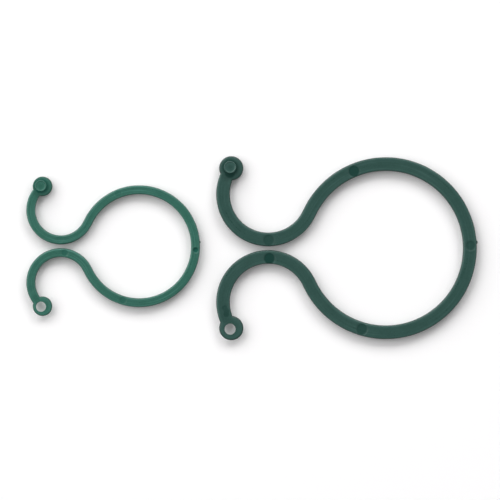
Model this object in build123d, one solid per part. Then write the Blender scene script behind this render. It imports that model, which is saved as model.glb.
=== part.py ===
# Two orchid clips of one design, a large dark green one and a small light green one, lying flat side by side.
# Each clip is an open spring ring whose two ends turn outward into hooks. One hook ends in a pad with a
# snap stud, the other in a pad with an eyelet. The ring flexes, the arms cross, and the stud snaps in.
# Millimetres, +Z up, the underside of both clips on Z = 0, the origin at the middle of the pair.
import os
from dataclasses import dataclass
from math import atan2, cos, degrees, radians, sin, sqrt

from build123d import *

# Large clip: the ring and the strand that it is moulded from
large_ring_radius = 21.0
large_strand_width = 3.48
large_strand_thickness = 2.4
large_strand_edge = 0.45
large_mouth_gap = 0.92

# Large clip: the hooks, and where along them the pads sit
large_hook_radius = 11.28
large_pad_angle = 145.0
large_pad_radius = 3.03
large_pad_thickness = 2.2
large_pad_edge = 0.3

# Large clip: the snap closure, set out from the pad's centre
large_snap_offset = 0.38
large_snap_angle = 140.0
large_eyelet_radius = 1.37
large_eyelet_thickness = 0.9
large_post_radius = 1.2
large_head_radius = 1.5
large_head_height = 0.5

# Large clip: marks of the mould
large_mark_radius = 1.15
large_gate_width = 1.0
large_gate_length = 0.3

# Small clip: the ring and the strand that it is moulded from
small_ring_radius = 14.1
small_strand_width = 2.3
small_strand_thickness = 2.2
small_strand_edge = 0.5
small_mouth_gap = 0.9

# Small clip: the hooks, and where along them the pads sit
small_hook_radius = 7.45
small_pad_angle = 127.5
small_pad_radius = 2.44
small_pad_thickness = 2.0
small_pad_edge = 0.25

# Small clip: the snap closure, set out from the pad's centre
small_snap_offset = 0.39
small_snap_angle = 162.0
small_eyelet_radius = 1.25
small_eyelet_thickness = 0.8
small_post_radius = 1.1
small_head_radius = 1.37
small_head_height = 0.45

# Small clip: marks of the mould
small_mark_radius = 0.8
small_gate_width = 0.7
small_gate_length = 0.2

# Shared by both clips: the stretch of ring on each side of the back, and the clearances of the snap closure
back_angle = 60.0
flex_seam = 0.04
crossing_clearance = 0.25
seat_clearance = 0.25
snap_clearance = 0.2
hook_relief = 1.0

# Shared by both clips: shallow ejector marks on the upper face
stud_side_mark_angle = 112.5
eyelet_side_mark_angle = 106.5
hook_mark_angle = -90.0
mark_depth = 0.12

# The small clip lies to the left of the large one
clip_gap = 3.8
small_clip_shift = 0.48


@dataclass
class Clip:
    """The sizes of one clip. Its ring is centred on the origin, the mouth is at -X and the stud at +Y."""

    ring_radius: float
    strand_width: float
    strand_thickness: float
    strand_edge: float
    mouth_gap: float
    hook_radius: float
    pad_angle: float
    pad_radius: float
    pad_thickness: float
    pad_edge: float
    snap_offset: float
    snap_angle: float
    eyelet_radius: float
    eyelet_thickness: float
    post_radius: float
    head_radius: float
    head_height: float
    mark_radius: float
    gate_width: float
    gate_length: float

    @property
    def hook_centre(self):
        """The upper hook's centre. Ring and hook are tangent, so their centres lie a sum of radii apart."""
        centre_y = (self.strand_width + self.mouth_gap) / 2 + self.hook_radius
        return Vector(-sqrt((self.ring_radius + self.hook_radius) ** 2 - centre_y ** 2), centre_y)

    @property
    def turn_angle(self):
        """The angle on the ring, on the line of both centres, where the strand turns into the upper hook."""
        return degrees(atan2(self.hook_centre.Y, self.hook_centre.X))

    @property
    def pad_centre(self):
        """The upper pad's centre, on the hook's centreline."""
        return self.hook_centre + around(self.hook_radius, self.pad_angle)

    @property
    def snap_centre(self):
        """The stud's centre, set out from the pad's centre. The eyelet's centre is its mirror image."""
        return self.pad_centre + around(self.snap_offset, self.snap_angle)

    @property
    def left_end(self):
        """How far the hooks reach towards -X."""
        return self.hook_centre.X - self.hook_radius - self.strand_width / 2

    @property
    def right_end(self):
        """How far the gate scar on the ring's back reaches towards +X."""
        return self.ring_radius + self.strand_width / 2 + self.gate_length


def around(radius, angle):
    """The step from a centre to the point this far away at this angle."""
    return Vector(radius * cos(radians(angle)), radius * sin(radians(angle)))


def upright(radius, height):
    """A round upright that stands on the floor at the origin."""
    return Cylinder(radius, height, align=(Align.CENTER, Align.CENTER, Align.MIN))


def through_hole(clip, radius, centre):
    """The tool that cuts a round hole right through the strand or the pad."""
    return Pos(centre.X, centre.Y, 0) * Cylinder(radius, 3 * clip.strand_thickness)


def round_pad(clip, thickness):
    """A round pad with its rim rounded above and below, standing on the floor at the origin."""
    pad = upright(clip.pad_radius, thickness)
    return fillet(pad.edges().filter_by(GeomType.CIRCLE), min(clip.pad_edge, 0.45 * thickness))


def strand_arc(clip, radius, start, end):
    """A stretch of strand bent round the origin, from one angle to another."""
    edge = min(clip.strand_edge, 0.45 * clip.strand_thickness)
    section = RectangleRounded(clip.strand_width, clip.strand_thickness, edge)
    placed = Plane.XZ * Pos(radius, clip.strand_thickness / 2) * section
    return Rot(0, 0, start) * revolve(placed, Axis.Z, end - start)


def ejector_mark(clip, centre):
    """The tool for one shallow round mark in the strand's upper face."""
    mark = Cylinder(clip.mark_radius, mark_depth, align=(Align.CENTER, Align.CENTER, Align.MAX))
    return Pos(centre.X, centre.Y, clip.strand_thickness) * mark


def gate_scar(clip):
    """What is left of the mould's gate: a short stub on the ring's back, wedge-shaped from the side."""
    inner_end = clip.right_end - clip.gate_length - clip.strand_edge
    half_height = clip.strand_thickness / 2
    corners = [
        (inner_end, 0.5 * half_height),
        (clip.right_end, 0.8 * half_height),
        (clip.right_end, 1.2 * half_height),
        (inner_end, 1.5 * half_height),
    ]
    side = Plane.XZ * make_face(Polyline(*corners, close=True))
    return Pos(0, 1.5 * clip.gate_width, 0) * extrude(side, clip.gate_width / 2, both=True)


def make_clip(clip):
    """All the pieces of one clip by name, in the clip's own frame."""
    pieces = {}
    half_seam = degrees(flex_seam / 2 / clip.ring_radius)

    # The ring: two stretches at the back, and one on each side out to where the strand turns into a hook
    back = strand_arc(clip, clip.ring_radius, half_seam, back_angle - half_seam)
    pieces["ring_back"] = back + gate_scar(clip)
    pieces["ring_flex"] = strand_arc(clip, clip.ring_radius, half_seam - back_angle, -half_seam)
    side = strand_arc(clip, clip.ring_radius, back_angle + half_seam, clip.turn_angle)
    pieces["stud_side_arc"] = side - ejector_mark(clip, around(clip.ring_radius, stud_side_mark_angle))

    # The hook: from the ring's end round to the pad, cut to the pad's rim
    hook = strand_arc(clip, clip.hook_radius, clip.pad_angle - 360, clip.turn_angle - 180)
    hook -= ejector_mark(clip, around(clip.hook_radius, hook_mark_angle))
    hook = Pos(clip.hook_centre.X, clip.hook_centre.Y, 0) * hook
    hook -= through_hole(clip, clip.pad_radius, clip.pad_centre)
    pieces["stud_hook"] = hook

    # The stud's pad: a round disc on the floor
    pieces["stud_pad"] = Pos(clip.pad_centre.X, clip.pad_centre.Y, 0) * round_pad(clip, clip.pad_thickness)

    # The stud: its post is long enough for the eyelet's pad to lie between the stud's pad and the head
    head_base = clip.pad_thickness + seat_clearance + clip.eyelet_thickness + snap_clearance
    post = upright(clip.post_radius, head_base - clip.pad_thickness)
    pieces["stud_post"] = Pos(clip.snap_centre.X, clip.snap_centre.Y, clip.pad_thickness) * post
    head = upright(clip.head_radius, clip.head_height)
    head = fillet(head.edges().filter_by(GeomType.CIRCLE).sort_by(Axis.Z)[-1], 0.6 * clip.head_height)
    pieces["stud_head"] = Pos(clip.snap_centre.X, clip.snap_centre.Y, head_base) * head

    # The eyelet arm mirrors the stud arm but for its mark, and its hook is relieved below to lie over the stud's pad
    underside = clip.pad_thickness - clip.eyelet_thickness
    relief = Pos(clip.pad_centre.X, clip.pad_centre.Y, 0) * upright(clip.pad_radius + hook_relief, underside)
    marked_side = side - ejector_mark(clip, around(clip.ring_radius, eyelet_side_mark_angle))
    pieces["eyelet_side_arc"] = mirror(marked_side, about=Plane.XZ)
    pieces["eyelet_hook"] = mirror(hook - relief, about=Plane.XZ)

    # The eyelet's pad: a thin disc, level with the top of the stud's pad, and the eyelet goes right through it
    pad = Pos(clip.pad_centre.X, clip.pad_centre.Y, underside) * round_pad(clip, clip.eyelet_thickness)
    pad -= through_hole(clip, clip.eyelet_radius, clip.snap_centre)
    pieces["eyelet_pad"] = mirror(pad, about=Plane.XZ)
    return pieces


large_clip = Clip(
    ring_radius=large_ring_radius,
    strand_width=large_strand_width,
    strand_thickness=large_strand_thickness,
    strand_edge=large_strand_edge,
    mouth_gap=large_mouth_gap,
    hook_radius=large_hook_radius,
    pad_angle=large_pad_angle,
    pad_radius=large_pad_radius,
    pad_thickness=large_pad_thickness,
    pad_edge=large_pad_edge,
    snap_offset=large_snap_offset,
    snap_angle=large_snap_angle,
    eyelet_radius=large_eyelet_radius,
    eyelet_thickness=large_eyelet_thickness,
    post_radius=large_post_radius,
    head_radius=large_head_radius,
    head_height=large_head_height,
    mark_radius=large_mark_radius,
    gate_width=large_gate_width,
    gate_length=large_gate_length,
)
small_clip = Clip(
    ring_radius=small_ring_radius,
    strand_width=small_strand_width,
    strand_thickness=small_strand_thickness,
    strand_edge=small_strand_edge,
    mouth_gap=small_mouth_gap,
    hook_radius=small_hook_radius,
    pad_angle=small_pad_angle,
    pad_radius=small_pad_radius,
    pad_thickness=small_pad_thickness,
    pad_edge=small_pad_edge,
    snap_offset=small_snap_offset,
    snap_angle=small_snap_angle,
    eyelet_radius=small_eyelet_radius,
    eyelet_thickness=small_eyelet_thickness,
    post_radius=small_post_radius,
    head_radius=small_head_radius,
    head_height=small_head_height,
    mark_radius=small_mark_radius,
    gate_width=small_gate_width,
    gate_length=small_gate_length,
)

# The pair is centred on the origin, from the small clip's hooks to the scar on the large clip's back.
small_length = small_clip.right_end - small_clip.left_end
large_length = large_clip.right_end - large_clip.left_end
pair_length = small_length + clip_gap + large_length
small_place = Pos(-pair_length / 2 - small_clip.left_end, small_clip_shift, 0)
large_place = Pos(pair_length / 2 - large_clip.right_end, 0, 0)

os.makedirs("parts", exist_ok=True)
for size, place, clip in (("large", large_place, large_clip), ("small", small_place, small_clip)):
    for name, piece in make_clip(clip).items():
        export_step(place * piece, f"parts/{size}_{name}.step")
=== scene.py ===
# Two orchid clips of one design, a large dark green one and a small light green one, lying side by side.
# Each is one moulding: a springy open ring whose ends turn out into hooks, with a stud and an eyelet that
# close it.
import math
from types import SimpleNamespace

import bmesh
import bpy
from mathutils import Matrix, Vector, noise


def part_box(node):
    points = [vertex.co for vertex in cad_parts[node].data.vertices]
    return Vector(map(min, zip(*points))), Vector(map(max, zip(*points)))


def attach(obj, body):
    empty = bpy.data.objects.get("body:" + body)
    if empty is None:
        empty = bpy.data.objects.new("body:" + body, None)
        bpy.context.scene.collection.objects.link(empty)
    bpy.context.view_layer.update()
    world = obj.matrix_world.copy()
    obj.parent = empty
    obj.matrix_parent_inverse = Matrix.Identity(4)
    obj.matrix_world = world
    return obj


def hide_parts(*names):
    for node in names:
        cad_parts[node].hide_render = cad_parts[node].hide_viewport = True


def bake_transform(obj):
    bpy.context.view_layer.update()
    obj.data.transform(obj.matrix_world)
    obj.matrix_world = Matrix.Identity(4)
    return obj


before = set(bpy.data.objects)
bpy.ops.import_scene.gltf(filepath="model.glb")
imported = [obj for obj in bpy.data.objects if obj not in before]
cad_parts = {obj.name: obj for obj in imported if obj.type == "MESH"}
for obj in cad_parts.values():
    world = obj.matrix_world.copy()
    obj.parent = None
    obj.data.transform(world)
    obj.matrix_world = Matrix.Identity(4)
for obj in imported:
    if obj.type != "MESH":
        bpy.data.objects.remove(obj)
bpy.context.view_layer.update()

# Back of each ring
# The springy middle of the moulding, a flat polypropylene strand with rounded edges, bent into a ring.
# The plastic was let into the mould here, which left a dimple, and the ring bends here when it is closed.
MM = 0.001
back_node_angle = math.radians(60.0)
back_skin_angle = math.radians(30.0)


def middle(node):
    """The middle of a node's box."""
    low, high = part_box(node)
    return (low + high) / 2


def read_clip(size, hook_radius, strand_edge, crown):
    """A clip's sizes and places in the frame, most of them read off its nodes."""
    clip = SimpleNamespace(size=size, slot=f"{size}_green", hook_radius=hook_radius)
    clip.strand_edge = strand_edge
    clip.crown = crown
    clip.stud_pad = middle(f"{size}_stud_pad")
    clip.axis_y = (clip.stud_pad.y + middle(f"{size}_eyelet_pad").y) / 2
    flex_low, flex_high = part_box(f"{size}_ring_flex")
    outer_radius = (clip.axis_y - flex_low.y) / math.sin(back_node_angle)
    clip.ring_x = flex_high.x - outer_radius
    inner_radius = (flex_low.x - clip.ring_x) / math.cos(back_node_angle)
    clip.ring_radius = (outer_radius + inner_radius) / 2
    clip.strand_width = outer_radius - inner_radius
    clip.strand_thickness = flex_high.z
    hook_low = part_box(f"{size}_stud_hook")[0]
    hook_reach = hook_radius + clip.strand_width / 2
    clip.hook_x = hook_low.x + hook_reach
    clip.hook_y = hook_low.y + hook_reach
    clip.turn_angle = math.atan2(clip.hook_y - clip.axis_y, clip.hook_x - clip.ring_x)
    return clip


large = read_clip("large", hook_radius=11.28 * MM, strand_edge=0.45 * MM, crown=0.14 * MM)
small = read_clip("small", hook_radius=7.45 * MM, strand_edge=0.45 * MM, crown=0.2 * MM)
clips = (large, small)


def add_node(tree, kind, inputs=None, **settings):
    """A new node with its settings, and its inputs by name set to a value or linked from a socket."""
    node = tree.nodes.new(kind)
    for name, value in settings.items():
        setattr(node, name, value)
    for name, value in (inputs or {}).items():
        if isinstance(value, bpy.types.NodeSocket):
            tree.links.new(value, node.inputs[name])
        else:
            node.inputs[name].default_value = value
    return node


def calculate(tree, operation, first, second=0.0):
    """The result of a sum on one or two numbers or sockets."""
    return add_node(tree, "ShaderNodeMath", {0: first, 1: second}, operation=operation).outputs[0]


def calculate_vector(tree, operation, first, second):
    """The result of a sum on two vectors or sockets."""
    return add_node(tree, "ShaderNodeVectorMath", {0: first, 1: second}, operation=operation).outputs[0]


def add_weighted(tree, total, value, weight):
    """A total plus a value at some weight."""
    inputs = {0: value, 1: weight, 2: total}
    return add_node(tree, "ShaderNodeMath", inputs, operation="MULTIPLY_ADD").outputs[0]


def smooth_range(tree, value, low, high, at_low, at_high):
    """A number that goes smoothly from one value to another while the given one crosses a range."""
    inputs = {"Value": value, "From Min": low, "From Max": high, "To Min": at_low, "To Max": at_high}
    return add_node(tree, "ShaderNodeMapRange", inputs, interpolation_type="SMOOTHSTEP").outputs["Result"]


def grow_moulding_surface():
    """The finish of the moulded plastic: soft mottling, specks, a faint grain, streaks along the strand and
    dull marks, with painted light laid on top: a painted sheen on the strongest streaks, painted highlights
    on the shoulders, painted shade at the edges, and the painted light and shade that a piece carries."""
    streaks_along = 60.0
    streaks_across = 4.0
    shoulder_start = 0.45
    shoulder_crest = 0.8
    edge_start = 0.86
    painted_sheen_start = 0.56
    painted_sheen_full = 0.72
    base_tone = 0.25
    base_roughness = 0.2

    group = bpy.data.node_groups.new("moulding_surface", "ShaderNodeTree")
    sockets = group.interface
    for name in ("Along", "Across", "Mark", "Pale", "Gleam"):
        sockets.new_socket(name, in_out="INPUT", socket_type="NodeSocketFloat")
    sockets.new_socket("Place", in_out="INPUT", socket_type="NodeSocketVector")
    for name in ("Tone", "Roughness", "Height"):
        sockets.new_socket(name, in_out="OUTPUT", socket_type="NodeSocketFloat")
    given = add_node(group, "NodeGroupInput").outputs

    cloud_inputs = {"Vector": given["Place"], "Scale": 420.0, "Detail": 2.0, "Roughness": 0.6}
    clouds = add_node(group, "ShaderNodeTexNoise", cloud_inputs).outputs["Fac"]
    speck_inputs = {"Vector": given["Place"], "Scale": 2400.0, "Detail": 1.0}
    specks = add_node(group, "ShaderNodeTexNoise", speck_inputs).outputs["Fac"]
    grain_inputs = {"Vector": given["Place"], "Scale": 9000.0, "Detail": 2.0}
    grain = add_node(group, "ShaderNodeTexNoise", grain_inputs).outputs["Fac"]
    flow_along = calculate(group, "MULTIPLY", given["Along"], streaks_along)
    flow_across = calculate(group, "MULTIPLY", given["Across"], streaks_across)
    flow_place = add_node(group, "ShaderNodeCombineXYZ", {"X": flow_along, "Y": flow_across}).outputs[0]
    streak_inputs = {"Vector": flow_place, "Scale": 1.0, "Detail": 2.0, "Roughness": 0.5}
    streaks = add_node(group, "ShaderNodeTexNoise", streak_inputs).outputs["Fac"]
    ridge_inputs = {"Vector": flow_place, "Scale": 2.2, "Detail": 1.0}
    ridges = add_node(group, "ShaderNodeTexNoise", ridge_inputs).outputs["Fac"]

    from_middle = calculate(group, "ABSOLUTE", given["Across"])
    shoulder_in = smooth_range(group, from_middle, shoulder_start, shoulder_crest, 0.0, 1.0)
    shoulder_out = smooth_range(group, from_middle, edge_start, 1.0, 1.0, 0.0)
    shoulder = calculate(group, "MULTIPLY", shoulder_in, shoulder_out)
    edge = smooth_range(group, from_middle, edge_start, 1.0, 0.0, 1.0)
    painted_sheen_streaks = smooth_range(group, streaks, painted_sheen_start, painted_sheen_full, 0.0, 1.0)

    tone = add_weighted(group, base_tone, clouds, weight=0.12)
    tone = add_weighted(group, tone, specks, weight=0.14)
    tone = add_weighted(group, tone, streaks, weight=0.22)
    # Painted highlight: the shoulders of the section are made paler, as if they caught the light.
    tone = add_weighted(group, tone, shoulder, weight=0.1)
    # Painted sheen: the strongest streaks are made lighter, as if they caught the light.
    tone = add_weighted(group, tone, painted_sheen_streaks, weight=given["Gleam"])
    # Painted shade: the outermost edges are made darker, as if they turned away from the light.
    tone = add_weighted(group, tone, edge, weight=-0.35)
    # Painted light and shade that a piece carries, paler where positive and darker where negative; only the
    # stud heads carry it.
    tone = calculate(group, "ADD", tone, given["Pale"])
    rough = add_weighted(group, base_roughness, specks, weight=0.05)
    rough = add_weighted(group, rough, streaks, weight=0.16)
    rough = add_weighted(group, rough, given["Mark"], weight=0.4)
    height = add_weighted(group, ridges, grain, weight=0.1)
    height = add_weighted(group, height, specks, weight=0.1)
    add_node(group, "NodeGroupOutput", {"Tone": tone, "Roughness": rough, "Height": height})
    return group


moulding_surface = grow_moulding_surface()


def moulded_green(name, deep_colour, light_colour, mark_colour, painted_sheen):
    """One clip's green plastic, between a deep and a light shade, darker and duller in its marks and in the
    painted shade round its studs, with a painted sheen on its strongest streaks.
    """
    deep_tone = 0.28
    light_tone = 0.72
    clean_gloss = 0.4
    marked_gloss = 0.17

    material = bpy.data.materials.new(name)
    material.use_nodes = True
    tree = material.node_tree
    place = add_node(tree, "ShaderNodeTexCoord").outputs["Object"]
    surface_inputs = {"Place": place, "Gleam": painted_sheen}
    for socket_name in ("Along", "Across", "Mark", "Pale"):
        kept = add_node(tree, "ShaderNodeAttribute", attribute_name=socket_name.lower())
        surface_inputs[socket_name] = kept.outputs["Fac"]
    mark = surface_inputs["Mark"]
    surface = add_node(tree, "ShaderNodeGroup", surface_inputs, node_tree=moulding_surface).outputs
    shades = add_node(tree, "ShaderNodeValToRGB", {"Fac": surface["Tone"]})
    deep, light = shades.color_ramp.elements
    deep.position = deep_tone
    deep.color = (*deep_colour, 1)
    light.position = light_tone
    light.color = (*light_colour, 1)
    mix_inputs = {"Factor": mark, "A": shades.outputs["Color"], "B": (*mark_colour, 1)}
    marked = add_node(tree, "ShaderNodeMix", mix_inputs, data_type="RGBA").outputs["Result"]
    gloss = add_weighted(tree, clean_gloss, mark, weight=marked_gloss - clean_gloss)
    bump_inputs = {"Height": surface["Height"], "Strength": 0.2, "Distance": 0.01 * MM}
    bump = add_node(tree, "ShaderNodeBump", bump_inputs).outputs["Normal"]
    shader = tree.nodes["Principled BSDF"]
    tree.links.new(marked, shader.inputs["Base Color"])
    tree.links.new(surface["Roughness"], shader.inputs["Roughness"])
    tree.links.new(gloss, shader.inputs["Specular IOR Level"])
    tree.links.new(bump, shader.inputs["Normal"])
    return material


large.plastic = moulded_green(
    "large_clip_green",
    deep_colour=(0.006, 0.038, 0.029),
    light_colour=(0.042, 0.106, 0.091),
    mark_colour=(0.003, 0.039, 0.03),
    painted_sheen=0.1,
)
small.plastic = moulded_green(
    "small_clip_green",
    deep_colour=(0.005, 0.07, 0.04),
    light_colour=(0.051, 0.181, 0.144),
    mark_colour=(0.007, 0.09, 0.064),
    painted_sheen=0.4,
)

# A mark's flat floor, as a share of its radius
mark_floor = 0.76


def grow_moulded_strand():
    """The rule for a stretch of strand: a rounded and slightly crowned section swept along a path, with
    marks pressed into its upper face, some with a raised collar, a slight unevenness all over, and its end
    drawn in to a pad's height."""
    crown_power = 3.0
    collar_crest = 1.22
    collar_foot = 1.5
    ramp_end = 0.86
    ramp_start = 1.5
    cap_angle = math.radians(65.0)

    tree = bpy.data.node_groups.new("moulded_strand", "GeometryNodeTree")
    sockets = tree.interface
    sockets.new_socket("Path", in_out="INPUT", socket_type="NodeSocketGeometry")
    for name in ("Width", "Thickness", "Edge Radius", "Crown", "Profile Step"):
        sockets.new_socket(name, in_out="INPUT", socket_type="NodeSocketFloat")
    for name in ("Pad Radius", "Pad Top", "Pad Bottom", "Unevenness", "Seed"):
        sockets.new_socket(name, in_out="INPUT", socket_type="NodeSocketFloat")
    sockets.new_socket("Pad Centre", in_out="INPUT", socket_type="NodeSocketVector")
    sockets.new_socket("Marks", in_out="INPUT", socket_type="NodeSocketObject")
    sockets.new_socket("Plastic", in_out="INPUT", socket_type="NodeSocketMaterial")
    sockets.new_socket("Strand", in_out="OUTPUT", socket_type="NodeSocketGeometry")
    given = add_node(tree, "NodeGroupInput").outputs
    position = add_node(tree, "GeometryNodeInputPosition").outputs[0]

    # The section, crowned by lowering its upper corners, is swept along the path.
    path = add_node(tree, "GeometryNodeMeshToCurve", {"Mesh": given["Path"]}).outputs[0]
    path = add_node(tree, "GeometryNodeSetCurveNormal", {"Curve": path}, mode="Z_UP").outputs[0]
    tangent = add_node(tree, "GeometryNodeInputTangent").outputs[0]
    kept = {"Geometry": path, "Name": "heading", "Value": tangent}
    path = add_node(tree, "GeometryNodeStoreNamedAttribute", kept, data_type="FLOAT_VECTOR").outputs[0]
    sides = {"Width": given["Width"], "Height": given["Thickness"]}
    profile = add_node(tree, "GeometryNodeCurvePrimitiveQuadrilateral", sides).outputs[0]
    rounding = {"Curve": profile, "Count": 8, "Radius": given["Edge Radius"]}
    profile = add_node(tree, "GeometryNodeFilletCurve", rounding, mode="POLY").outputs[0]
    even = {"Curve": profile, "Length": given["Profile Step"]}
    profile = add_node(tree, "GeometryNodeResampleCurve", even, mode="LENGTH").outputs[0]
    section = add_node(tree, "ShaderNodeSeparateXYZ", {"Vector": position}).outputs
    half_width = calculate(tree, "MULTIPLY", given["Width"], 0.5)
    share = calculate(tree, "DIVIDE", section["X"], half_width)
    kept = {"Geometry": profile, "Name": "across", "Value": share}
    profile = add_node(tree, "GeometryNodeStoreNamedAttribute", kept).outputs[0]
    half_thickness = calculate(tree, "MULTIPLY", given["Thickness"], 0.5)
    above_middle = calculate(tree, "DIVIDE", section["Y"], half_thickness)
    above_middle = calculate(tree, "MAXIMUM", above_middle, 0.0)
    fall = calculate(tree, "POWER", calculate(tree, "ABSOLUTE", share), crown_power)
    fall = calculate(tree, "MULTIPLY", calculate(tree, "MULTIPLY", fall, above_middle), given["Crown"])
    fall = calculate(tree, "MULTIPLY", fall, -1.0)
    lowered = add_node(tree, "ShaderNodeCombineXYZ", {"Y": fall}).outputs[0]
    profile = add_node(tree, "GeometryNodeSetPosition", {"Geometry": profile, "Offset": lowered}).outputs[0]
    swept = {"Curve": path, "Profile Curve": profile, "Fill Caps": True}
    strand = add_node(tree, "GeometryNodeCurveToMesh", swept).outputs[0]

    # Each point of the strand looks up the nearest mark.
    marks = add_node(tree, "GeometryNodeObjectInfo", {"Object": given["Marks"]}).outputs["Geometry"]
    nearest = add_node(tree, "GeometryNodeProximity", {"Target": marks}, target_element="POINTS").outputs
    distance = nearest["Distance"]
    nearest_index = add_node(tree, "GeometryNodeSampleNearest", {"Geometry": marks}).outputs["Index"]

    def of_nearest_mark(name):
        """A size that the nearest mark carries, or nothing where there is no mark."""
        size = add_node(tree, "GeometryNodeInputNamedAttribute", {"Name": name}).outputs["Attribute"]
        looked_up = {"Geometry": marks, "Value": size, "Index": nearest_index}
        return add_node(tree, "GeometryNodeSampleIndex", looked_up).outputs["Value"]

    mark_radius = of_nearest_mark("radius")
    wall_foot = calculate(tree, "MULTIPLY", mark_radius, mark_floor)
    mark = smooth_range(tree, distance, wall_foot, mark_radius, 1.0, 0.0)
    mark = calculate(tree, "MULTIPLY", mark, nearest["Is Valid"])
    crest_radius = calculate(tree, "MULTIPLY", mark_radius, collar_crest)
    foot_radius = calculate(tree, "MULTIPLY", mark_radius, collar_foot)
    collar_in = smooth_range(tree, distance, mark_radius, crest_radius, 0.0, 1.0)
    collar_out = smooth_range(tree, distance, crest_radius, foot_radius, 1.0, 0.0)
    collar = calculate(tree, "MULTIPLY", collar_in, collar_out)
    collar = calculate(tree, "MULTIPLY", collar, of_nearest_mark("collar"))
    # A mark's darkness; for the last mark of a stud's arm this is the stud's painted shadow.
    dark = calculate(tree, "MULTIPLY", mark, of_nearest_mark("darkness"))
    kept = {"Geometry": strand, "Name": "mark", "Value": dark}
    strand = add_node(tree, "GeometryNodeStoreNamedAttribute", kept).outputs[0]
    sunk = calculate(tree, "MULTIPLY", mark, of_nearest_mark("depth"))
    lift = calculate(tree, "SUBTRACT", collar, sunk)
    sink = add_node(tree, "ShaderNodeCombineXYZ", {"Z": lift}).outputs[0]

    # The unevenness goes straight in from the sides and leaves the ends of the stretch square.
    wave = {"Vector": position, "W": given["Seed"], "Scale": 330.0, "Detail": 2.0}
    wave = add_node(tree, "ShaderNodeTexNoise", wave, noise_dimensions="4D").outputs["Fac"]
    wave = calculate(tree, "MULTIPLY", calculate(tree, "MULTIPLY", wave, given["Unevenness"]), -1.0)
    normal = add_node(tree, "GeometryNodeInputNormal").outputs[0]
    named = add_node(tree, "GeometryNodeInputNamedAttribute", {"Name": "heading"}, data_type="FLOAT_VECTOR")
    endways = calculate_vector(tree, "PROJECT", normal, named.outputs["Attribute"])
    outward = calculate_vector(tree, "SUBTRACT", normal, endways)
    outward = add_node(tree, "ShaderNodeVectorMath", {0: outward}, operation="NORMALIZE").outputs[0]
    wave = add_node(tree, "ShaderNodeVectorMath", {0: outward, "Scale": wave}, operation="SCALE").outputs[0]
    shift = calculate_vector(tree, "ADD", sink, wave)
    strand = add_node(tree, "GeometryNodeSetPosition", {"Geometry": strand, "Offset": shift}).outputs[0]

    # Near a pad the strand goes over into the pad's height.
    from_pad = calculate_vector(tree, "SUBTRACT", position, given["Pad Centre"])
    flat = calculate_vector(tree, "MULTIPLY", from_pad, (1, 1, 0))
    away = add_node(tree, "ShaderNodeVectorMath", {0: flat}, operation="LENGTH").outputs["Value"]
    end_radius = calculate(tree, "MULTIPLY", given["Pad Radius"], ramp_end)
    start_radius = calculate(tree, "MULTIPLY", given["Pad Radius"], ramp_start)
    pad_height = calculate(tree, "SUBTRACT", given["Pad Top"], given["Pad Bottom"])
    pad_share = calculate(tree, "DIVIDE", pad_height, given["Thickness"])
    squeeze = smooth_range(tree, away, end_radius, start_radius, pad_share, 1.0)
    rise = smooth_range(tree, away, end_radius, start_radius, given["Pad Bottom"], 0.0)
    stretch = add_node(tree, "ShaderNodeCombineXYZ", {"X": 1.0, "Y": 1.0, "Z": squeeze}).outputs[0]
    raised = add_node(tree, "ShaderNodeCombineXYZ", {"Z": rise}).outputs[0]
    drawn_in = {0: position, 1: stretch, 2: raised}
    placed = add_node(tree, "ShaderNodeVectorMath", drawn_in, operation="MULTIPLY_ADD").outputs[0]
    strand = add_node(tree, "GeometryNodeSetPosition", {"Geometry": strand, "Position": placed}).outputs[0]

    unneeded = {"Geometry": strand, "Name": "heading"}
    strand = add_node(tree, "GeometryNodeRemoveAttribute", unneeded).outputs[0]
    strand = add_node(tree, "GeometryNodeSetShadeSmooth", {"Geometry": strand}, domain="FACE").outputs[0]
    angle = add_node(tree, "GeometryNodeInputMeshEdgeAngle").outputs["Unsigned Angle"]
    cap_edge = calculate(tree, "GREATER_THAN", angle, cap_angle)
    sharp = {"Geometry": strand, "Selection": cap_edge, "Shade Smooth": False}
    strand = add_node(tree, "GeometryNodeSetShadeSmooth", sharp, domain="EDGE").outputs[0]
    strand = add_node(tree, "GeometryNodeRealizeInstances", {"Geometry": strand}).outputs[0]
    dyed = {"Geometry": strand, "Material": given["Plastic"]}
    strand = add_node(tree, "GeometryNodeSetMaterial", dyed).outputs[0]
    add_node(tree, "NodeGroupOutput", {"Strand": strand})
    return tree


moulded_strand = grow_moulded_strand()
strand_step = 0.15 * MM
profile_step = 0.8 * strand_step
unevenness = 0.035 * MM
unevenness_seed = 3.0


def arc_points(centre_x, centre_y, radius, start, end):
    """Both ends of an arc and, between them, the corners of short tangents to it, which keep the ends
    square."""
    count = max(2, round(abs(end - start) * radius / strand_step))
    turn = (end - start) / count
    corner_radius = radius / math.cos(turn / 2)
    places = [(radius, start)]
    places += [(corner_radius, start + (step + 0.5) * turn) for step in range(count)]
    places.append((radius, end))
    return [
        (centre_x + away * math.cos(angle), centre_y + away * math.sin(angle))
        for away, angle in places
    ]


def ring_points(clip, start, end):
    """Points along the centreline of a clip's ring."""
    return arc_points(clip.ring_x, clip.axis_y, clip.ring_radius, start, end)


def point_object(name, points, edges):
    """A bare mesh of points, with or without edges."""
    mesh = bpy.data.meshes.new(name)
    mesh.from_pydata(points, edges, [])
    holder = bpy.data.objects.new(name, mesh)
    bpy.context.scene.collection.objects.link(holder)
    return holder


def mark_on(centre_x, centre_y, radius, angle, mark_radius, depth, darkness, collar=0.0):
    """A round mark on the strand, placed by its angle round the ring's or the hook's centre."""
    place = (centre_x + radius * math.cos(angle), centre_y + radius * math.sin(angle))
    return SimpleNamespace(place=place, radius=mark_radius, depth=depth, darkness=darkness, collar=collar)


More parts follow.
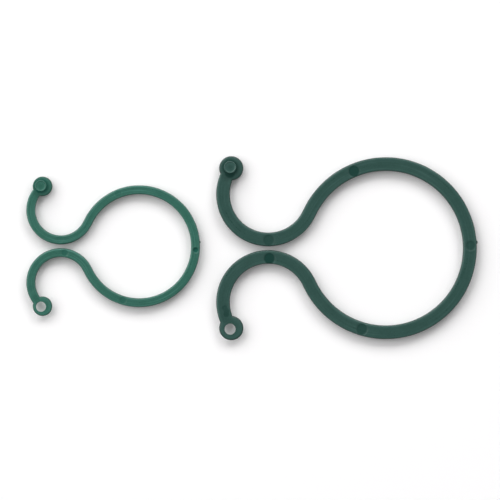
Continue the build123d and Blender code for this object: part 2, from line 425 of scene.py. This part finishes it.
def mould_strand(name, clip, centreline, along_start, marks=(), pad=None):
    """A stretch of a clip's strand along a centreline, made by the strand's rule and kept as a mesh."""
    height = clip.strand_thickness / 2
    points = [Vector((x, y, height)) for x, y in centreline]
    piece = point_object(name, points, [(first, first + 1) for first in range(len(points) - 1)])
    along = piece.data.attributes.new("along", "FLOAT", "POINT")
    run = along_start
    for index, point in enumerate(points):
        if index:
            run += (point - points[index - 1]).length
        along.data[index].value = run
    mark_places = [(*mark.place, clip.strand_thickness) for mark in marks]
    mark_points = point_object(name + "_marks", mark_places, [])
    for size_name in ("radius", "depth", "darkness", "collar"):
        sizes = mark_points.data.attributes.new(size_name, "FLOAT", "POINT")
        for index, mark in enumerate(marks):
            sizes.data[index].value = getattr(mark, size_name)
    if pad is None:
        # A pad as thick as the strand leaves the strand as it is, wherever the pad lies.
        top = clip.strand_thickness
        pad = SimpleNamespace(centre=(0.0, 0.0, 0.0), radius=1.0 * MM, top=top, bottom=0.0)
    rule = piece.modifiers.new("moulded_strand", "NODES")
    rule.node_group = moulded_strand
    values = {
        "Width": clip.strand_width,
        "Thickness": clip.strand_thickness,
        "Edge Radius": clip.strand_edge,
        "Crown": clip.crown,
        "Profile Step": profile_step,
        "Pad Radius": pad.radius,
        "Pad Top": pad.top,
        "Pad Bottom": pad.bottom,
        "Pad Centre": pad.centre,
        "Unevenness": unevenness,
        "Seed": unevenness_seed,
        "Marks": mark_points,
        "Plastic": clip.plastic,
    }
    for socket in moulded_strand.interface.items_tree:
        if socket.name in values:
            rule[socket.identifier] = values[socket.name]
    depsgraph = bpy.context.evaluated_depsgraph_get()
    made = bpy.data.meshes.new_from_object(piece.evaluated_get(depsgraph), depsgraph=depsgraph)
    piece.modifiers.clear()
    bare = piece.data
    piece.data = made
    bpy.data.meshes.remove(bare)
    bpy.data.objects.remove(mark_points)
    return piece


def bend_between(piece):
    """Bakes the piece's placing into its mesh."""
    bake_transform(piece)


large_gate_mark = mark_on(
    large.ring_x,
    large.axis_y,
    radius=21.15 * MM,
    angle=math.radians(1.6),
    mark_radius=1.35 * MM,
    depth=0.1 * MM,
    darkness=0.6,
    collar=0.03 * MM,
)
small_gate_mark = mark_on(
    small.ring_x,
    small.axis_y,
    radius=14.2 * MM,
    angle=math.radians(-4.0),
    mark_radius=0.7 * MM,
    depth=0.25 * MM,
    darkness=1.0,
    collar=0.07 * MM,
)
for clip, gate_mark in ((large, large_gate_mark), (small, small_gate_mark)):
    centreline = ring_points(clip, -back_skin_angle, back_skin_angle)
    start_along = -back_skin_angle * clip.ring_radius
    back = mould_strand(f"{clip.size}_ring_spring", clip, centreline, start_along, marks=[gate_mark])
    bend_between(back)
    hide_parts(f"{clip.size}_ring_back", f"{clip.size}_ring_flex")

# Shoulders of each ring
# The two stretches of the same strand next to the back, which flex when the clip is sprung open or closed.
# They are moulded in one with the back, so their ends meet it without a step.
shoulder_end = 3 * back_skin_angle
shoulders = (
    ("stud", back_skin_angle, "back", "stud_arm"),
    ("eyelet", -shoulder_end, "eyelet_arm", "flex"),
)
for clip in clips:
    for side, start, lower_body, upper_body in shoulders:
        centreline = ring_points(clip, start, start + 2 * back_skin_angle)
        shoulder = mould_strand(f"{clip.size}_{side}_shoulder", clip, centreline, start * clip.ring_radius)
        bend_between(shoulder)

# Arms with their hooks
# The far stretches of the moulded strand, from the shoulders round the ring's mouth and out into the hooks.
# Ejector pins left round marks in them. A curved row of three small ones lies beside the large eyelet, and
# beside each stud lies a patch of painted shadow that is hardly sunk.
hook_stop_share = 0.62
end_proud = 0.02 * MM

# A mark lies on the ring or the hook, at an angle in degrees and a distance out from the middle line.
# Lengths are in millimetres, and the last mark of a stud's arm is the stud's painted shadow beside it,
# hardly sunk.
arm_marks = {
    ("large", "stud"): (
        dict(arc="ring", angle=112.5, out=-0.25, radius=1.55, depth=0.13, darkness=0.9),
        dict(arc="hook", angle=-89.5, out=0.25, radius=1.55, depth=0.1, darkness=0.65),
        # Painted shadow of the stud, hardly sunk.
        dict(arc="hook", angle=-209.3, out=-0.32, radius=1.5, depth=0.02, darkness=0.85),
    ),
    ("large", "eyelet"): (
        dict(arc="ring", angle=106.4, out=0.15, radius=1.55, depth=0.13, darkness=0.7),
        dict(arc="hook", angle=-88.5, out=-0.4, radius=1.55, depth=0.13, darkness=0.97),
        dict(arc="hook", angle=-187.9, out=-0.37, radius=0.8, depth=0.06, darkness=0.65),
        dict(arc="hook", angle=-192.4, out=-0.62, radius=0.8, depth=0.06, darkness=0.65),
        dict(arc="hook", angle=-196.2, out=-0.39, radius=0.8, depth=0.06, darkness=0.65),
    ),
    ("small", "stud"): (
        dict(arc="ring", angle=111.7, out=0.0, radius=0.92, depth=0.08, darkness=0.4),
        dict(arc="hook", angle=-92.0, out=0.0, radius=0.92, depth=0.06, darkness=0.2),
        # Painted shadow of the stud, hardly sunk.
        dict(arc="hook", angle=-223.2, out=-0.12, radius=0.9, depth=0.02, darkness=1.0),
    ),
    ("small", "eyelet"): (
        dict(arc="ring", angle=106.5, out=0.0, radius=0.92, depth=0.1, darkness=0.6),
        dict(arc="hook", angle=-82.0, out=0.0, radius=0.92, depth=0.12, darkness=0.65),
        dict(arc="hook", angle=-192.0, out=0.0, radius=0.85, depth=0.05, darkness=0.3),
    ),
}


def on_side(clip, side, y):
    """A place across the clip on the stud's side, mirrored in the clip's axis for the eyelet's side."""
    return y if side == "stud" else 2 * clip.axis_y - y


for clip in clips:
    pad_low, pad_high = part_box(f"{clip.size}_stud_pad")
    clip.pad_radius = (pad_high.x - pad_low.x) / 2
    clip.pad_top = pad_high.z
    clip.eyelet_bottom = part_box(f"{clip.size}_eyelet_pad")[0].z
    arcs = {
        "ring": (clip.ring_x, clip.axis_y, clip.ring_radius),
        "hook": (clip.hook_x, clip.hook_y, clip.hook_radius),
    }
    pad_angle = math.atan2(clip.stud_pad.y - clip.hook_y, clip.stud_pad.x - clip.hook_x) - 2 * math.pi
    hook_start = clip.turn_angle - math.pi
    hook_stop = pad_angle + hook_stop_share * clip.pad_radius / clip.hook_radius
    ring_run = (clip.turn_angle - shoulder_end) * clip.ring_radius
    hook_run = (hook_start - hook_stop) * clip.hook_radius
    stud_side = ring_points(clip, shoulder_end, clip.turn_angle)
    stud_side += arc_points(*arcs["hook"], hook_start, hook_stop)[1:]
    for side, pad_bottom in (("stud", 0.0), ("eyelet", clip.eyelet_bottom)):
        centreline = [(x, on_side(clip, side, y)) for x, y in stud_side]
        start_along = shoulder_end * clip.ring_radius
        if side == "eyelet":
            centreline.reverse()
            start_along = -start_along - ring_run - hook_run
        marks = []
        for spot in arm_marks[clip.size, side]:
            arc_x, arc_y, arc_radius = arcs[spot["arc"]]
            mark = mark_on(
                arc_x,
                arc_y,
                radius=arc_radius + spot["out"] * MM,
                angle=math.radians(spot["angle"]),
                mark_radius=spot["radius"] * MM,
                depth=spot["depth"] * MM,
                darkness=spot["darkness"],
            )
            mark.place = (mark.place[0], on_side(clip, side, mark.place[1]))
            marks.append(mark)
        pad = SimpleNamespace(
            centre=Vector((clip.stud_pad.x, on_side(clip, side, clip.stud_pad.y), 0)),
            radius=clip.pad_radius,
            top=clip.pad_top + end_proud,
            bottom=pad_bottom,
        )
        arm_name = f"{clip.size}_{side}_hook_strand"
        arm = mould_strand(arm_name, clip, centreline, start_along, marks=marks, pad=pad)
        if side == "stud":
            clip.foot_patch = marks[-1]
            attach(arm, f"{clip.size}_stud_arm")
        else:
            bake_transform(arm)
        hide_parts(f"{clip.size}_{side}_side_arc", f"{clip.size}_{side}_hook")

# Stud pads
# Round discs with rounded rims, moulded onto the ends of the upper hooks to carry the snap studs.
# They carry painted shade round the stud's foot, and the stud's painted shadow in the patch beside it,
# which runs on from the hook.
pad_edges = {"large": 0.45 * MM, "small": 0.36 * MM}
underside_shares = (0.1, 0.5, 0.97)
top_circles = 13
painted_foot_shade = 0.75
foot_start = 0.55 * MM
foot_end = 1.1 * MM
circle_points = 144
corner_steps = 8


def rounded_corner(centre, radius, level, edge, start, end):
    """Circles along a rounded corner of a turned shape, as centre, radius and height."""
    turns = [start + (end - start) * step / corner_steps for step in range(corner_steps + 1)]
    angles = [math.radians(turn) for turn in turns]
    return [(centre, radius + edge * math.cos(angle), level + edge * math.sin(angle)) for angle in angles]


def plastic_piece(name, clip, shape):
    """A smooth piece of a clip's plastic in the shape of a working mesh, which is used up."""
    for face in shape.faces:
        face.smooth = True
    mesh = bpy.data.meshes.new(name)
    shape.to_mesh(mesh)
    shape.free()
    mesh.materials.append(clip.plastic)
    piece = bpy.data.objects.new(name, mesh)
    bpy.context.scene.collection.objects.link(piece)
    return piece


def turned_shape(name, clip, circles, closed):
    """A piece through circles stacked in order, either closed on itself or with capped ends."""
    shape = bmesh.new()
    angles = [2 * math.pi * step / circle_points for step in range(circle_points)]
    rings = []
    for centre, radius, level in circles:
        rounds = [Vector((radius * math.cos(angle), radius * math.sin(angle), level)) for angle in angles]
        places = [(centre.x + point.x, centre.y + point.y, point.z) for point in rounds]
        rings.append([shape.verts.new(place) for place in places])
    if closed:
        rings.append(rings[0])
    else:
        shape.faces.new(rings[0])
        shape.faces.new(rings[-1])
    for lower, upper in zip(rings, rings[1:]):
        for step in range(circle_points):
            following = (step + 1) % circle_points
            shape.faces.new((lower[step], lower[following], upper[following], upper[step]))
    bmesh.ops.recalc_face_normals(shape, faces=shape.faces)
    return plastic_piece(name, clip, shape)


def grade_outward(piece, name, centre, radius, at_middle, at_rim):
    """Keeps a value at each point of a turned piece that goes evenly from its middle out to a radius."""
    values = piece.data.attributes.new(name, "FLOAT", "POINT")
    for vertex in piece.data.vertices:
        share = (vertex.co - centre).xy.length / radius
        values.data[vertex.index].value = at_middle + share * (at_rim - at_middle)


def clamp(share):
    """A share, kept between none and all."""
    return min(1.0, max(0.0, share))


for clip in clips:
    edge = pad_edges[clip.size]
    corner = clip.pad_radius - edge
    post_low, post_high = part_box(f"{clip.size}_stud_post")
    post = (post_low + post_high) / 2
    foot = (post_high.x - post_low.x) / 2
    circles = [(clip.stud_pad, share * corner, 0.0) for share in underside_shares]
    circles += rounded_corner(clip.stud_pad, corner, edge, edge, -90, 0)
    circles += rounded_corner(clip.stud_pad, corner, clip.pad_top - edge, edge, 0, 90)
    for step in range(top_circles):
        share = (step + 0.5) / top_circles
        circles.append((clip.stud_pad.lerp(post, share), corner + share * (foot - corner), clip.pad_top))
    stud_pad = turned_shape(f"{clip.size}_stud_disc", clip, circles, closed=False)
    # Painted shade round the stud's foot and the stud's painted shadow beside it, kept as the mark value,
    # so they darken and dull the plastic like a mark.
    shade = stud_pad.data.attributes.new("mark", "FLOAT", "POINT")
    shadow_patch_centre = Vector(clip.foot_patch.place)
    for vertex in stud_pad.data.vertices:
        from_foot = (vertex.co - post).xy.length - foot
        foot_shade = painted_foot_shade * clamp((foot_end - from_foot) / (foot_end - foot_start))
        from_patch = (vertex.co.xy - shadow_patch_centre).length / clip.foot_patch.radius
        patch_shade = clip.foot_patch.darkness * clamp((1.0 - from_patch) / (1.0 - mark_floor))
        shade.data[vertex.index].value = max(foot_shade, patch_shade)
    # The share out from the middle gives the disc the strand's painted highlight on the shoulder and
    # painted shade at the rim.
    grade_outward(stud_pad, "across", clip.stud_pad, clip.pad_radius, at_middle=0.0, at_rim=1.0)
    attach(stud_pad, f"{clip.size}_stud_arm")
    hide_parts(f"{clip.size}_stud_pad")

# Eyelet pads
# Thin discs on the ends of the lower hooks, clear of the table, each moulded with an eyelet through it that
# the stud snaps into. The eyelet is a little off the middle, as the stud is, and its edges are rounded.
eyelet_radii = {"large": 1.37 * MM, "small": 1.25 * MM}
eyelet_edge = 0.1 * MM
flat_shares = (0.04, 0.35, 0.65, 0.96)
for clip in clips:
    edge = pad_edges[clip.size]
    corner = clip.pad_radius - edge
    low = clip.eyelet_bottom
    head = middle(f"{clip.size}_stud_head")
    pad_centre = Vector((clip.stud_pad.x, on_side(clip, "eyelet", clip.stud_pad.y), 0))
    hole_centre = Vector((head.x, on_side(clip, "eyelet", head.y), 0))
    mouth = eyelet_radii[clip.size] + eyelet_edge
    flat = []
    for share in flat_shares:
        flat.append((hole_centre.lerp(pad_centre, share), mouth + share * (corner - mouth)))
    circles = rounded_corner(hole_centre, mouth, low + eyelet_edge, eyelet_edge, 270, 180)
    circles += rounded_corner(hole_centre, mouth, clip.pad_top - eyelet_edge, eyelet_edge, 180, 90)
    circles += [(centre, radius, clip.pad_top) for centre, radius in flat]
    circles += rounded_corner(pad_centre, corner, clip.pad_top - edge, edge, 90, 0)
    circles += rounded_corner(pad_centre, corner, low + edge, edge, 0, -90)
    circles += [(centre, radius, low) for centre, radius in reversed(flat)]
    eyelet_pad = turned_shape(f"{clip.size}_eyelet_disc", clip, circles, closed=True)
    # The share out from the middle gives the disc the strand's painted highlight on the shoulder and
    # painted shade at the rim.
    grade_outward(eyelet_pad, "across", pad_centre, clip.pad_radius, at_middle=0.0, at_rim=1.0)
    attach(eyelet_pad, f"{clip.size}_eyelet_end")
    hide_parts(f"{clip.size}_eyelet_pad")

# Snap studs
# A short post on each stud pad with a wider head, moulded in one with the pad.
# The head's rim is rounded and stands a little above its middle, which sank as the thick plastic cooled.
# The head is painted paler towards its rim as a highlight, and darker towards its middle.
post_fillet = 0.25 * MM
post_root = 0.1 * MM
root_shares = (0.3, 1.0)
lip_share = 0.12
rim_share = 0.25
head_sink = 0.12 * MM
sink_slope = 0.16
sunk_shares = (0.98, 0.96, 0.94, 0.92, 0.9, 0.88, 0.86, 0.84, 0.6, 0.4, 0.15)
head_painted_light = {"large": dict(at_middle=-0.09, at_rim=0.22), "small": dict(at_middle=-0.1, at_rim=0.08)}
for clip in clips:
    head_low, head_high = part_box(f"{clip.size}_stud_head")
    post_low, post_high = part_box(f"{clip.size}_stud_post")
    axis = (head_low + head_high) / 2
    head_radius = (head_high.x - head_low.x) / 2
    post_radius = (post_high.x - post_low.x) / 2
    lip = lip_share * (head_high.z - head_low.z)
    rim = rim_share * (head_high.z - head_low.z)
    flare = post_radius + post_fillet
    crest = head_radius - rim
    circles = [(axis, share * flare, post_low.z - post_root) for share in root_shares]
    circles += rounded_corner(axis, flare, post_low.z + post_fillet, post_fillet, 270, 180)
    circles.append((axis, post_radius, head_low.z))
    circles += rounded_corner(axis, head_radius - lip, head_low.z + lip, lip, -90, 0)
    circles += rounded_corner(axis, crest, head_high.z - rim, rim, 0, 90)
    for share in sunk_shares:
        fall = min(1.0, (1.0 - share) / sink_slope)
        circles.append((axis, share * crest, head_high.z - head_sink * fall * fall * (3 - 2 * fall)))
    stud = turned_shape(f"{clip.size}_snap_stud", clip, circles, closed=False)
    # Painted highlight towards the head's rim, and darker towards its middle.
    grade_outward(stud, "pale", axis, head_radius, **head_painted_light[clip.size])
    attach(stud, f"{clip.size}_stud_arm")
    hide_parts(f"{clip.size}_stud_post", f"{clip.size}_stud_head")

# Gate stubs
# A torn nub on the outside of each ring's back, where the moulding was broken off its runner.
# It is the same plastic, ragged and a few tenths of a millimetre long.
gate_widths = {"large": 1.0 * MM, "small": 0.7 * MM}
widths_off_axis = 1.5
stub_height_share = 0.32
lump_fullness = 0.8
lump_raggedness = 0.3
lump_fineness = 2.2
lump_sample = Vector((5.0, 1.0, 2.0))
for clip in clips:
    gate_width = gate_widths[clip.size]
    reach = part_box(f"{clip.size}_ring_back")[1].x
    root = clip.ring_x + clip.ring_radius + clip.strand_width / 2 - clip.strand_edge
    half = Vector(((reach - root) / 2, gate_width / 2, stub_height_share * clip.strand_thickness))
    stub_y = clip.axis_y + widths_off_axis * gate_width
    centre = Vector(((reach + root) / 2, stub_y, clip.strand_thickness / 2))
    lump = bmesh.new()
    bmesh.ops.create_icosphere(lump, subdivisions=4, radius=1.0)
    for vertex in lump.verts:
        swelling = lump_raggedness * noise.noise(lump_fineness * vertex.co + lump_sample)
        ragged = vertex.co * (lump_fullness + swelling)
        vertex.co = centre + Vector(part * size for part, size in zip(ragged, half))
    stub = plastic_piece(f"{clip.size}_gate_stub", clip, lump)
    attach(stub, f"{clip.size}_back")

# Floor, light and camera
# A plain white sheet lies under the clips. A soft strip and a small box stand beyond them, a broad panel to
# their left and a weak one to their right, under an even sky. The camera looks straight down.
floor_reach = 3.0
floor_drop = 0.02 * MM
sky_strength = 0.26
backdrop_strength = 1.0
floor_shape = bmesh.new()
bmesh.ops.create_grid(floor_shape, x_segments=4, y_segments=4, size=floor_reach)
floor_mesh = bpy.data.meshes.new("floor")
floor_shape.to_mesh(floor_mesh)
floor_shape.free()
for corner in floor_mesh.vertices:
    corner.co.z = -floor_drop
floor = bpy.data.objects.new("floor", floor_mesh)
bpy.context.scene.collection.objects.link(floor)
white_sheet = bpy.data.materials.new("white_sheet")
white_sheet.use_nodes = True
sheet_shader = white_sheet.node_tree.nodes["Principled BSDF"]
sheet_shader.inputs["Base Color"].default_value = (1.0, 0.99, 0.996, 1)
sheet_shader.inputs["Roughness"].default_value = 0.9
sheet_shader.inputs["Specular IOR Level"].default_value = 0.0
floor_mesh.materials.append(white_sheet)

sky = bpy.data.worlds.new("studio")
sky.use_nodes = True
sky_light = sky.node_tree.nodes["Background"]
sky_light.inputs["Color"].default_value = (1, 1, 1, 1)
seen_by_camera = add_node(sky.node_tree, "ShaderNodeLightPath").outputs["Is Camera Ray"]
strength_inputs = {"Value": seen_by_camera, "To Min": sky_strength, "To Max": backdrop_strength}
strength = add_node(sky.node_tree, "ShaderNodeMapRange", strength_inputs).outputs["Result"]
sky.node_tree.links.new(strength, sky_light.inputs["Strength"])
bpy.context.scene.world = sky


def soft_light(name, place, width, height, power):
    """A soft box that points at the middle of the pair."""
    lamp = bpy.data.lights.new(name, "AREA")
    lamp.shape = "RECTANGLE"
    lamp.size = width
    lamp.size_y = height
    lamp.energy = power
    holder = bpy.data.objects.new(name, lamp)
    holder.location = place
    holder.rotation_euler = (-Vector(place)).to_track_quat("-Z", "Y").to_euler()
    bpy.context.scene.collection.objects.link(holder)


soft_light("north_strip", place=(0.0, 1.5, 1.17), width=3.0, height=0.9, power=22.5)
soft_light("west_panel", place=(-1.32, 0.7, 1.17), width=2.8, height=2.0, power=33.0)
soft_light("east_panel", place=(1.5, 0.3, 1.5), width=1.6, height=1.6, power=5.0)
soft_light("corner_box", place=(0.75, 1.45, 1.25), width=0.7, height=0.7, power=5.0)

view = bpy.data.cameras.new("camera")
view.sensor_width = 36.0
view.lens = 287.9
camera = bpy.data.objects.new("camera", view)
camera.location = (-0.53 * MM, -0.45 * MM, 1.0)
bpy.context.scene.collection.objects.link(camera)
bpy.context.scene.camera = camera
bpy.context.scene.view_settings.view_transform = "Standard"
